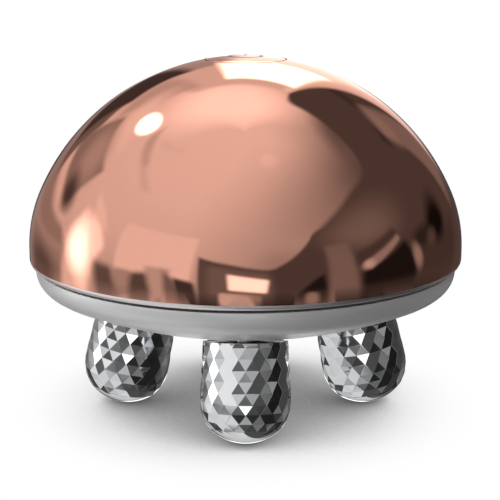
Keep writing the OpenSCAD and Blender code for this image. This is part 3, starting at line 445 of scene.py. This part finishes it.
finishes = {
    "copper_mirror": finish("copper_mirror", (0.80, 0.398, 0.296), (0.79, 0.391, 0.290), 0.03, 0.055, 300.0,
                            Metallic=1.0, Specular_Tint=(0.92, 0.75, 0.69, 1.0)),
    "symbol_inlay": finish("symbol_inlay", (0.035, 0.015, 0.012), (0.05, 0.022, 0.018), 0.40, 0.5, 900.0,
                           Specular_IOR_Level=0.12),
    "satin_silver": finish("satin_silver", (0.74, 0.735, 0.74), (0.69, 0.685, 0.69), 0.44, 0.52, 500.0,
                           stretch=(0.15, 0.15, 2.0), Metallic=0.82),
    "roller_chrome": finish("roller_chrome", (0.77, 0.78, 0.795), (0.72, 0.73, 0.745), 0.03, 0.07, 350.0,
                            Metallic=1.0),
    "steel": finish("steel", (0.56, 0.57, 0.59), (0.48, 0.49, 0.51), 0.22, 0.34, 700.0, Metallic=1.0),
    "spring_steel": finish("spring_steel", (0.45, 0.46, 0.48), (0.36, 0.37, 0.39), 0.25, 0.38, 900.0,
                           Metallic=1.0),
    "bush_bronze": finish("bush_bronze", (0.56, 0.38, 0.19), (0.45, 0.29, 0.14), 0.32, 0.48, 1400.0,
                          relief=0.01 * mm, Metallic=1.0),
    "black_rubber": finish("black_rubber", (0.020, 0.018, 0.018), (0.030, 0.028, 0.027), 0.62, 0.8, 900.0,
                           relief=0.01 * mm),
    "black_plastic": finish("black_plastic", (0.028, 0.028, 0.030), (0.040, 0.040, 0.043), 0.38, 0.52, 1100.0,
                            relief=0.01 * mm),
    "white_lens": finish("white_lens", (0.85, 0.85, 0.80), (0.78, 0.78, 0.72), 0.18, 0.28, 500.0),
    "board_green": finish("board_green", (0.012, 0.15, 0.07), (0.02, 0.20, 0.10), 0.28, 0.42, 800.0),
    "cell_wrap": finish("cell_wrap", (0.03, 0.10, 0.34), (0.045, 0.14, 0.42), 0.24, 0.36, 350.0),
    "motor_steel": finish("motor_steel", (0.52, 0.52, 0.53), (0.43, 0.43, 0.44), 0.26, 0.40, 500.0,
                          stretch=(3.0, 0.2, 0.2), Metallic=1.0),
}
for subpart in frame["record"]["subparts"]:
    nodes[subpart["node"]].data.materials.clear()
    nodes[subpart["node"]].data.materials.append(finishes[subpart["material_slot"]])


# Dome
# One moulded shell with a mirror-bright rose copper plating: a round crown, a fuller shoulder, a
# narrow straight band and a lip that curls under. A collar in the crown guides the button.
def arc(centre, radius, start, stop, steps):
    """Points on an arc in the plane of the outline; its angles are counted up from +X, in degrees."""
    turns = [math.radians(start + (stop - start) * i / steps) for i in range(steps + 1)]
    return [(centre[0] + radius * math.cos(a), centre[1] + radius * math.sin(a)) for a in turns]


def turned(outline, steps, hollow=True):
    """Outline of radii and heights spun round the Z axis. A hollow one closes on itself."""
    shape = bmesh.new()
    corners = [shape.verts.new((r, 0.0, z)) for r, z in outline]
    ends = corners[1:] + corners[:1] if hollow else corners[1:]
    sides = [shape.edges.new(pair) for pair in zip(corners, ends)]
    bmesh.ops.spin(shape, geom=corners + sides, cent=(0, 0, 0), axis=(0, 0, 1), dvec=(0, 0, 0),
                   angle=math.tau, steps=steps, use_merge=True, use_duplicate=False)
    bmesh.ops.remove_doubles(shape, verts=shape.verts, dist=1e-5)
    bmesh.ops.recalc_face_normals(shape, faces=shape.faces)
    return shape


def piece(name, shape, sharp=35.0):
    """Object of a shape in millimetres, smooth apart from edges sharper than that angle."""
    shape.transform(Matrix.Scale(mm, 4))
    mesh = bpy.data.meshes.new(name)
    shape.to_mesh(mesh)
    shape.free()
    mesh.polygons.foreach_set("use_smooth", [True] * len(mesh.polygons))
    mesh.set_sharp_from_angle(angle=math.radians(sharp))
    made = bpy.data.objects.new(name, mesh)
    bpy.context.scene.collection.objects.link(made)
    return made


def stands_for(made, body, node, slot):
    """The piece rides on that body, replaces the CAD node and takes its finish."""
    made.data.materials.clear()
    made.data.materials.append(finishes[slot])
    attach(made, body)
    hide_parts(node)


def prism(shape, place, corners, start, stop):
    """Adds a bar of that flat outline, drawn along Z from start to stop, to a shape, moved by that matrix."""
    ends = [[shape.verts.new(place @ Vector((x, y, z))) for x, y in corners] for z in (start, stop)]
    shape.faces.new(ends[0][::-1])
    shape.faces.new(ends[1])
    for i in range(len(corners)):
        on = (i + 1) % len(corners)
        shape.faces.new((ends[0][i], ends[0][on], ends[1][on], ends[1][i]))


def rod(shape, place, r, start, stop, sides=64):
    """Adds a cylinder along Z, from start to stop, to a shape, moved by that matrix."""
    circle = [(r * math.cos(math.tau * i / sides), r * math.sin(math.tau * i / sides)) for i in range(sides)]
    prism(shape, place, circle, start, stop)


def post(shape, place, r, end_z, wall_height):
    """Adds an upright post, flat at end_z and sunk in a curved wall, whose height over a radius is given."""
    sides = 48
    ends = [[], []]
    for i in range(sides):
        turn = math.tau * i / sides
        at = place @ Vector((r * math.cos(turn), r * math.sin(turn), 0))
        ends[0].append(shape.verts.new((at.x, at.y, end_z)))
        ends[1].append(shape.verts.new((at.x, at.y, wall_height(math.hypot(at.x, at.y)))))
    shape.faces.new(ends[0])
    shape.faces.new(ends[1][::-1])
    for i in range(sides):
        on = (i + 1) % sides
        shape.faces.new((ends[0][i], ends[1][i], ends[1][on], ends[0][on]))


def at_corner(turn, ring_r):
    """Place on a circle round the middle, turned to face outwards."""
    return Matrix.Rotation(math.radians(turn), 4, "Z") @ Matrix.Translation((ring_r, 0, 0))


def combined(base, operation, shape):
    """The base after a Boolean with a shape, made into its own mesh."""
    bmesh.ops.recalc_face_normals(shape, faces=shape.faces)
    other = piece("tool", shape)
    join = base.modifiers.new("join", "BOOLEAN")
    join.operation = operation
    join.object = other
    join.solver = "EXACT"
    settled = base.evaluated_get(bpy.context.evaluated_depsgraph_get())
    mesh = bpy.data.meshes.new_from_object(settled)
    base.modifiers.clear()
    base.data = mesh
    bpy.data.objects.remove(other)


dome_r = 48.0
dome_wall = 2.2
crown_r = 49.77
crown_centre_z = 29.03
shoulder_r = 29.7
shoulder_centre_r = dome_r - shoulder_r
band_top_z = 37.272
lip_r = 1.3
lip_turn = 78.0
lip_z = 35.2
foot_z = 33.9
foot_r = 46.4
land_r = 44.6
rim_top_z = 38.9
rim_slope = 0.3
hole_r = 9.04
collar_r = 11.2
collar_z = 74.4
groove_edge = 0.1
corner_turns = [45.0, 135.0, 225.0, 315.0]
screw_ring_r = 36.0
pillar_r = 3.6
pillar_foot_z = 33.35
pillar_bore_r = 1.5
pillar_bore_z = 42.1
rib_w = 1.467
board_boss_turns = [30.0, 150.0, 270.0]
board_boss_ring_r = 17.0
board_boss_r = 2.3
board_boss_z = 65.5
board_bore_r = 1.0
board_bore_z = 72.4
copper_end_z = 35.15
lip_silver = (0.92, 0.89, 0.89, 1.0)
lip_roughness = 0.36
# Near-black painted shade for the wall of the gap round the button
gap_shade_colour = (0.03, 0.018, 0.015, 1.0)
join_angle = math.degrees(math.atan2(band_top_z - crown_centre_z, shoulder_centre_r))


def crown_height(r):
    """Height of the crown over a radius."""
    return crown_centre_z + math.sqrt(crown_r ** 2 - r ** 2)


def crown_angle(r, inset=0.0):
    """Angle at the crown's centre, up from the horizontal, of a radius on the crown."""
    return math.degrees(math.acos(r / (crown_r - inset)))


outer = (arc((hole_r + groove_edge, crown_height(hole_r) - groove_edge), groove_edge, 180, 84, 5)
         + arc((0, crown_centre_z), crown_r, crown_angle(hole_r + groove_edge), join_angle, 110)[1:]
         + arc((shoulder_centre_r, band_top_z), shoulder_r, join_angle, 0, 48)[1:]
         + arc((dome_r - lip_r, lip_z), lip_r, 0, -lip_turn, 14))
under = [(foot_r, foot_z), (land_r, foot_z), (land_r, rim_top_z),
         (dome_r - dome_wall, rim_top_z + rim_slope)]
inner = (arc((shoulder_centre_r, band_top_z), shoulder_r - dome_wall, 4, join_angle, 20)
         + arc((0, crown_centre_z), crown_r - dome_wall, join_angle, crown_angle(collar_r, dome_wall), 40)[1:]
         + [(collar_r, collar_z), (hole_r, collar_z)])
dome = piece("dome_shell", turned(outer + under + inner, 288))

in_wall = dome_wall / 2


def dome_wall_z(r):
    """Height, over a radius, in the middle of the crown's wall."""
    return crown_height(r) - in_wall


posts = bmesh.new()
for turn in corner_turns:
    post(posts, at_corner(turn, screw_ring_r), pillar_r, pillar_foot_z, dome_wall_z)
for turn in board_boss_turns:
    post(posts, at_corner(turn, board_boss_ring_r), board_boss_r, board_boss_z, dome_wall_z)
combined(dome, "UNION", posts)
rib_start = math.degrees(math.asin((rim_top_z - band_top_z) / (shoulder_r - in_wall)))
rib_outline = (arc((shoulder_centre_r, band_top_z), shoulder_r - in_wall, rib_start, join_angle, 12)
               + arc((0, crown_centre_z), crown_r - in_wall, join_angle,
                     crown_angle(screw_ring_r, in_wall), 12)[1:]
               + [(screw_ring_r, rim_top_z)])
ribs = bmesh.new()
for turn in corner_turns:
    upright = Matrix.Rotation(math.radians(turn), 4, "Z") @ Matrix.Rotation(math.radians(90), 4, "X")
    prism(ribs, upright, rib_outline, -rib_w / 2, rib_w / 2)
combined(dome, "UNION", ribs)
bores = bmesh.new()
for turn in corner_turns:
    rod(bores, at_corner(turn, screw_ring_r), pillar_bore_r, pillar_foot_z - 1, pillar_bore_z, 32)
for turn in board_boss_turns:
    rod(bores, at_corner(turn, board_boss_ring_r), board_bore_r, board_boss_z - 1, board_bore_z, 32)
combined(dome, "DIFFERENCE", bores)
dome.data.set_sharp_from_angle(angle=math.radians(35))
stands_for(dome, "housing", "dome_cover", "copper_mirror")

# The copper ends on the lip, whose lowest turn stays bright silver
tree = finishes["copper_mirror"].node_tree
shader = tree.nodes["Principled BSDF"]
copper = shader.inputs["Base Color"].links[0].from_socket
place = new_node(tree, "ShaderNodeTexCoord").outputs["Object"]
height = measure(tree, "DOT_PRODUCT", place, (0.0, 0.0, 1.0))
over_lip = soft_step(tree, height, (copper_end_z - 0.06) * mm, (copper_end_z + 0.06) * mm)
plating = new_node(tree, "ShaderNodeMix", {0: over_lip, 6: lip_silver, 7: copper},
                   data_type="RGBA").outputs[2]
gloss = shader.inputs["Roughness"].links[0].from_socket
settled = new_node(tree, "ShaderNodeMix", {0: over_lip, 2: lip_roughness, 3: gloss}).outputs[0]
tree.links.new(settled, shader.inputs["Roughness"])

# Painted shade: the wall of the gap round the button is painted near black, which shows as a thin dark ring
flat = calculate_vector(tree, "MULTIPLY", place, (1.0, 1.0, 0.0))
from_middle = measure(tree, "LENGTH", flat)
in_hole = soft_step(tree, from_middle, (hole_r + 0.06) * mm, (hole_r + 0.03) * mm)
below_crown = soft_step(tree, height, (crown_height(hole_r) - 0.05) * mm, (crown_height(hole_r) - 0.1) * mm)
gap_shade_mask = calculate(tree, "MULTIPLY", in_hole, below_crown)
gap_shaded_plating = new_node(tree, "ShaderNodeMix", {0: gap_shade_mask, 6: plating, 7: gap_shade_colour}, data_type="RGBA").outputs[2]
tree.links.new(gap_shaded_plating, shader.inputs["Base Color"])


# Button
# Plated cap that slides in the crown's hole: a round top flush with the crown, a hollow skirt with
# a stop flange, and a stem. Its power mark is a dark inlay that follows the crown.
button_r = 8.76
stop_r = 10.2
stop_z = 73.4
stop_top_z = 74.3
skirt_in_r = 7.3
roof_z = 76.6
stem_r = 1.8
stem_z = 69.8
mark_r = 3.6
mark_line = 0.75
mark_opening = 1.275
mark_bar_from = 0.9
mark_bar_to = 4.5
mark_proud = 0.006
mark_depth = 0.02
mark_steps = 90
bar_steps = 12

button_outline = (
    [(0, stem_z), (stem_r, stem_z), (stem_r, roof_z), (skirt_in_r, roof_z), (skirt_in_r, stop_z),
     (stop_r, stop_z), (stop_r, stop_top_z), (button_r, stop_top_z)]
    + arc((button_r - groove_edge, crown_height(button_r) - groove_edge), groove_edge, 0, 79, 5)
    + arc((0, crown_centre_z), crown_r, crown_angle(button_r - groove_edge), 90, 24)[1:])
button = piece("button_cap", turned(button_outline, 144, hollow=False))
stands_for(button, "button", "power_button", "copper_mirror")


def on_crown(shape, columns):
    """Adds a thin plate that follows the crown to a shape, from columns of flat points across it."""
    levels = (mark_proud, -mark_depth)
    made = [[[shape.verts.new((x, y, crown_height(math.hypot(x, y)) + level)) for x, y in column]
             for column in columns] for level in levels]
    top, low = made
    for i in range(len(columns) - 1):
        for k in range(len(columns[i]) - 1):
            shape.faces.new((top[i][k], top[i][k + 1], top[i + 1][k + 1], top[i + 1][k]))
            shape.faces.new((low[i][k], low[i + 1][k], low[i + 1][k + 1], low[i][k + 1]))
        for k in (0, -1):
            shape.faces.new((top[i][k], top[i + 1][k], low[i + 1][k], low[i][k]))
    for i in (0, -1):
        for k in range(len(columns[i]) - 1):
            shape.faces.new((top[i][k], low[i][k], low[i][k + 1], top[i][k + 1]))


ring_columns = []
for step in range(mark_steps + 1):
    column = []
    for share in (0.0, 0.5, 1.0):
        r = mark_r + mark_line * (share - 0.5)
        first = math.acos(mark_opening / r)
        turn = first - (math.pi + 2 * first) * step / mark_steps
        column.append((r * math.cos(turn), r * math.sin(turn)))
    ring_columns.append(column)
bar_columns = [[(mark_line * (share - 0.5), mark_bar_from + (mark_bar_to - mark_bar_from) * step / bar_steps)
                for share in (0.0, 0.5, 1.0)] for step in range(bar_steps + 1)]
mark_shape = bmesh.new()
on_crown(mark_shape, ring_columns)
on_crown(mark_shape, bar_columns)
bmesh.ops.recalc_face_normals(mark_shape, faces=mark_shape.faces)
mark = piece("power_mark", mark_shape)
stands_for(mark, "button", "power_symbol", "symbol_inlay")


# Spring
# Return spring, coiled from round steel wire. It stands on the guide's floor, lifts the button by its
# roof, and rides with the button as one piece.
coil_r = 3.6
coil_turns = 3.5
wire_r = 0.29
coil_from_z = 72.41
coil_to_z = 76.59
coil_steps = 112
wire_sides = 12

spring_shape = bmesh.new()
wire_end = bmesh.ops.create_circle(
    spring_shape, cap_ends=False, segments=wire_sides, radius=wire_r,
    matrix=Matrix.Translation((coil_r, 0, coil_from_z + wire_r)) @ Matrix.Rotation(math.pi / 2, 4, "X"))
climb = (coil_to_z - coil_from_z - 2 * wire_r) / coil_steps
bmesh.ops.spin(spring_shape, geom=wire_end["verts"] + spring_shape.edges[:], cent=(0, 0, 0), axis=(0, 0, 1),
               dvec=(0, 0, climb), angle=math.tau * coil_turns, steps=coil_steps, use_merge=False,
               use_duplicate=False)
bmesh.ops.holes_fill(spring_shape, edges=spring_shape.edges, sides=0)
bmesh.ops.recalc_face_normals(spring_shape, faces=spring_shape.faces)
spring = piece("coil_spring", spring_shape)
stands_for(spring, "button", "return_spring", "steel")
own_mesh(spring)


# Bowl
# Satin silver underside, moulded in one piece: a shallow round belly with a tight side, a ledge and
# a tongue that carry the dome, and bosses for the four bushes, the screws and the chassis.
bowl_side_r = 4.8
bowl_side_centre_r = 41.9
bowl_wide_z = 32.4
bowl_top_z = 33.35
belly_r = 106.834
belly_centre_z = 125.434
belly_flat_r = 10.0
bowl_wall = 2.2
ledge_z = 31.85
tongue_r = 44.45
tongue_in_r = 42.85
tongue_top_z = 36.55
bowl_edge_round = 0.2
belly_join = math.degrees(math.atan2(belly_centre_z - bowl_wide_z, bowl_side_centre_r))


def belly_outline(inset, steps):
    """Outline of the bowl, drawn in by that much, from its middle out to its widest ring."""
    flat_z = belly_centre_z - math.sqrt(belly_r ** 2 - belly_flat_r ** 2) + inset
    start = -math.degrees(math.asin((belly_centre_z - flat_z) / (belly_r - inset)))
    return ([(0, flat_z)]
            + arc((0, belly_centre_z), belly_r - inset, start, -belly_join, steps)
            + arc((bowl_side_centre_r, bowl_wide_z), bowl_side_r - inset, -belly_join, 0, 16)[1:])


edge_start = math.degrees(math.asin((bowl_top_z - bowl_edge_round - bowl_wide_z) / bowl_side_r))
edge_r = bowl_side_centre_r + bowl_side_r * math.cos(math.radians(edge_start)) - bowl_edge_round
ledge_turn = math.degrees(math.asin((bowl_wide_z - ledge_z) / (bowl_side_r - bowl_wall)))
ledge_out_r = bowl_side_centre_r + (bowl_side_r - bowl_wall) * math.cos(math.radians(ledge_turn))
outside = (belly_outline(0.0, 90)
           + arc((bowl_side_centre_r, bowl_wide_z), bowl_side_r, 0, edge_start, 4)[1:]
           + arc((edge_r, bowl_top_z - bowl_edge_round), bowl_edge_round, 10, 90, 6)
           + [(tongue_r, bowl_top_z), (tongue_r, tongue_top_z), (tongue_in_r, tongue_top_z),
              (tongue_in_r, ledge_z)])
inside = [point for point in belly_outline(bowl_wall, 40) if point[1] < ledge_z]
bowl = piece("bowl_shell", turned(outside + [(ledge_out_r, ledge_z)] + inside[::-1], 288, hollow=False))

axle_lean = 12.2
tip_r = 28.969
tip_z = 0.237
sides = {"front": -90.0, "right": 0.0, "back": 90.0, "left": 180.0}
well_s = 22.223
well_r = 9.8
flange_r = 4.3
flange_s = 22.923
bush_r = 3.2
bush_end_s = 30.923
boss_r = 5.2
boss_end_s = 32.423
seal_r = 3.7
screw_boss_r = 4.3
screw_head_r = 3.1
screw_hole_r = 1.8
screw_seat_z = 27.6
screw_cut_from_z = 10.0
screw_cut_to_z = 40.0
post_ring_r = 24.0
post_r = 3.0
post_top_z = 36.11
post_bore_r = 1.0
post_bore_h = 8.0
socket_z = 30.0
socket_slot_r = 1.9
socket_slot_middle = 2.85
socket_post_x = 5.2
socket_post_y = 34.35
socket_post_r = 2.0
socket_post_z = 31.6
socket_bore_z = 27.1
slot_from_y = 36.8
slot_to_y = 51.4
well_cut = 12.0
cut_past = 1.0


def on_axle(side):
    """Place of a roller's axle: Z runs up it from the tip, and X points outwards."""
    return (Matrix.Rotation(math.radians(sides[side]), 4, "Z") @ Matrix.Translation((tip_r, 0, tip_z))
            @ Matrix.Rotation(math.radians(-axle_lean), 4, "Y"))


def belly_wall_z(r):
    """Height, over a radius, of the middle of the belly's wall."""
    return belly_centre_z - math.sqrt((belly_r - bowl_wall / 2) ** 2 - r ** 2)


socket_posts = [Matrix.Translation((x, socket_post_y, 0)) for x in (-socket_post_x, socket_post_x)]
bosses = bmesh.new()
for side in sides:
    rod(bosses, on_axle(side), boss_r, well_s, boss_end_s)
for turn in corner_turns:
    post(bosses, at_corner(turn, screw_ring_r), screw_boss_r, bowl_top_z, belly_wall_z)
    post(bosses, at_corner(turn, post_ring_r), post_r, post_top_z, belly_wall_z)
for place in socket_posts:
    post(bosses, place, socket_post_r, socket_post_z, belly_wall_z)
combined(bowl, "UNION", bosses)

cuts = bmesh.new()
bore_outline = [(0, well_s - well_cut), (well_r, well_s - well_cut), (well_r, well_s), (flange_r, well_s),
                (flange_r, flange_s), (bush_r, flange_s), (bush_r, bush_end_s), (seal_r, bush_end_s),
                (seal_r, boss_end_s + cut_past), (0, boss_end_s + cut_past)]
screw_outline = [(0, screw_cut_from_z), (screw_head_r, screw_cut_from_z), (screw_head_r, screw_seat_z),
                 (screw_hole_r, screw_seat_z), (screw_hole_r, screw_cut_to_z), (0, screw_cut_to_z)]
bored = [(bore_outline, on_axle(side), 96) for side in sides]
bored += [(screw_outline, at_corner(turn, screw_ring_r), 64) for turn in corner_turns]
for cut_outline, place, steps in bored:
    one = turned(cut_outline, steps, hollow=False)
    one.transform(place)
    held = bpy.data.meshes.new("held")
    one.to_mesh(held)
    one.free()
    cuts.from_mesh(held)
    bpy.data.meshes.remove(held)
for turn in corner_turns:
    rod(cuts, at_corner(turn, post_ring_r), post_bore_r, post_top_z - post_bore_h, post_top_z + cut_past, 32)
for place in socket_posts:
    rod(cuts, place, post_bore_r, socket_bore_z, socket_post_z + cut_past, 32)
slot_outline = (arc((socket_slot_middle, 0), socket_slot_r, -90, 90, 16)
                + arc((-socket_slot_middle, 0), socket_slot_r, 90, 270, 16))
along_y = Matrix.Translation((0, 0, socket_z)) @ Matrix.Rotation(math.radians(-90), 4, "X")
prism(cuts, along_y, slot_outline, slot_from_y, slot_to_y)
combined(bowl, "DIFFERENCE", cuts)
bowl.data.set_sharp_from_angle(angle=math.radians(30))
even = bowl.modifiers.new("even_shading", "WEIGHTED_NORMAL")
even.keep_sharp = True
stands_for(bowl, "housing", "base_shell", "satin_silver")


# Rollers
# Four plated rollers, each moulded with staggered rows of twenty flat triangles on a barrel that
# narrows upwards, and a smooth ball at the tip. An axle is fixed in each.
ball_r = 10.5
cap_h = 3.3
facet_step = 0.04
cap_r = math.sqrt(2 * ball_r * cap_h - cap_h ** 2)
facet_start_r = cap_r + facet_step
belly_s = 9.0
roller_r = 9.65
roller_end_r = 9.0
roller_end_s = 21.623
facets_round = 20
facet_row_h = 2.33
shoulder_rows = 3
barrel_rows = 6
axle_r = 2.0
axle_from_s = 7.0
bore_to_s = 30.0
facet_edge = 0.09
roller_sharp = 60.0
curve_r = ((roller_r - facet_start_r) ** 2 + (belly_s - cap_h) ** 2) / (2 * (roller_r - facet_start_r))
curve_turn = math.asin((belly_s - cap_h) / curve_r)

rings = []
for i in range(shoulder_rows):
    turn = curve_turn * (shoulder_rows - i) / shoulder_rows
    rings.append((roller_r - curve_r * (1 - math.cos(turn)), belly_s - curve_r * math.sin(turn)))
for i in range(barrel_rows + 1):
    s = belly_s + i * facet_row_h
    rings.append((roller_r - (s - belly_s) * (roller_r - roller_end_r) / (roller_end_s - belly_s), s))

for side in sides:
    shape = bmesh.new()
    loops = []
    for i, (r, s) in enumerate(rings):
        shift = 0.5 * (i % 2)
        loops.append([shape.verts.new((r * math.cos((k + shift) * math.tau / facets_round),
                                       r * math.sin((k + shift) * math.tau / facets_round), s))
                      for k in range(facets_round)])
    for i in range(len(loops) - 1):
        low, up = loops[i], loops[i + 1]
        for k in range(facets_round):
            on = (k + 1) % facets_round
            if i % 2:
                shape.faces.new((low[k], low[on], up[on]))
                shape.faces.new((low[k], up[on], up[k]))
            else:
                shape.faces.new((low[k], low[on], up[k]))
                shape.faces.new((low[on], up[on], up[k]))
    shape.faces.new(loops[0][::-1])
    cut = bmesh.ops.bisect_plane(shape, geom=shape.verts[:] + shape.edges[:] + shape.faces[:], dist=1e-5,
                                 plane_co=(0, 0, roller_end_s), plane_no=(0, 0, 1), clear_outer=True)
    rim = [item for item in cut["geom_cut"] if isinstance(item, bmesh.types.BMEdge)]
    bmesh.ops.contextual_create(shape, geom=rim)
    bmesh.ops.recalc_face_normals(shape, faces=shape.faces)
    bmesh.ops.bevel(shape, geom=shape.edges[:], offset=facet_edge, segments=2, profile=0.5, affect="EDGES",
                    material=-1, clamp_overlap=True)
    shape.transform(on_axle(side))
    roller = piece("roller_" + side + "_shell", shape, roller_sharp)

    cap_outline = arc((0, ball_r), ball_r, -90, -90 + math.degrees(math.asin(cap_r / ball_r)), 30)
    cap = turned(cap_outline + [(0, cap_h)], 120, hollow=False)
    cap.transform(on_axle(side))
    bore = bmesh.new()
    rod(bore, on_axle(side), axle_r, axle_from_s, bore_to_s)
    combined(roller, "UNION", cap)
    combined(roller, "DIFFERENCE", bore)
    roller.data.set_sharp_from_angle(angle=math.radians(roller_sharp))
    even = roller.modifiers.new("even_shading", "WEIGHTED_NORMAL")
    even.weight = 100
    even.keep_sharp = True
    stands_for(roller, "roller_" + side, "roller_" + side, "roller_chrome")
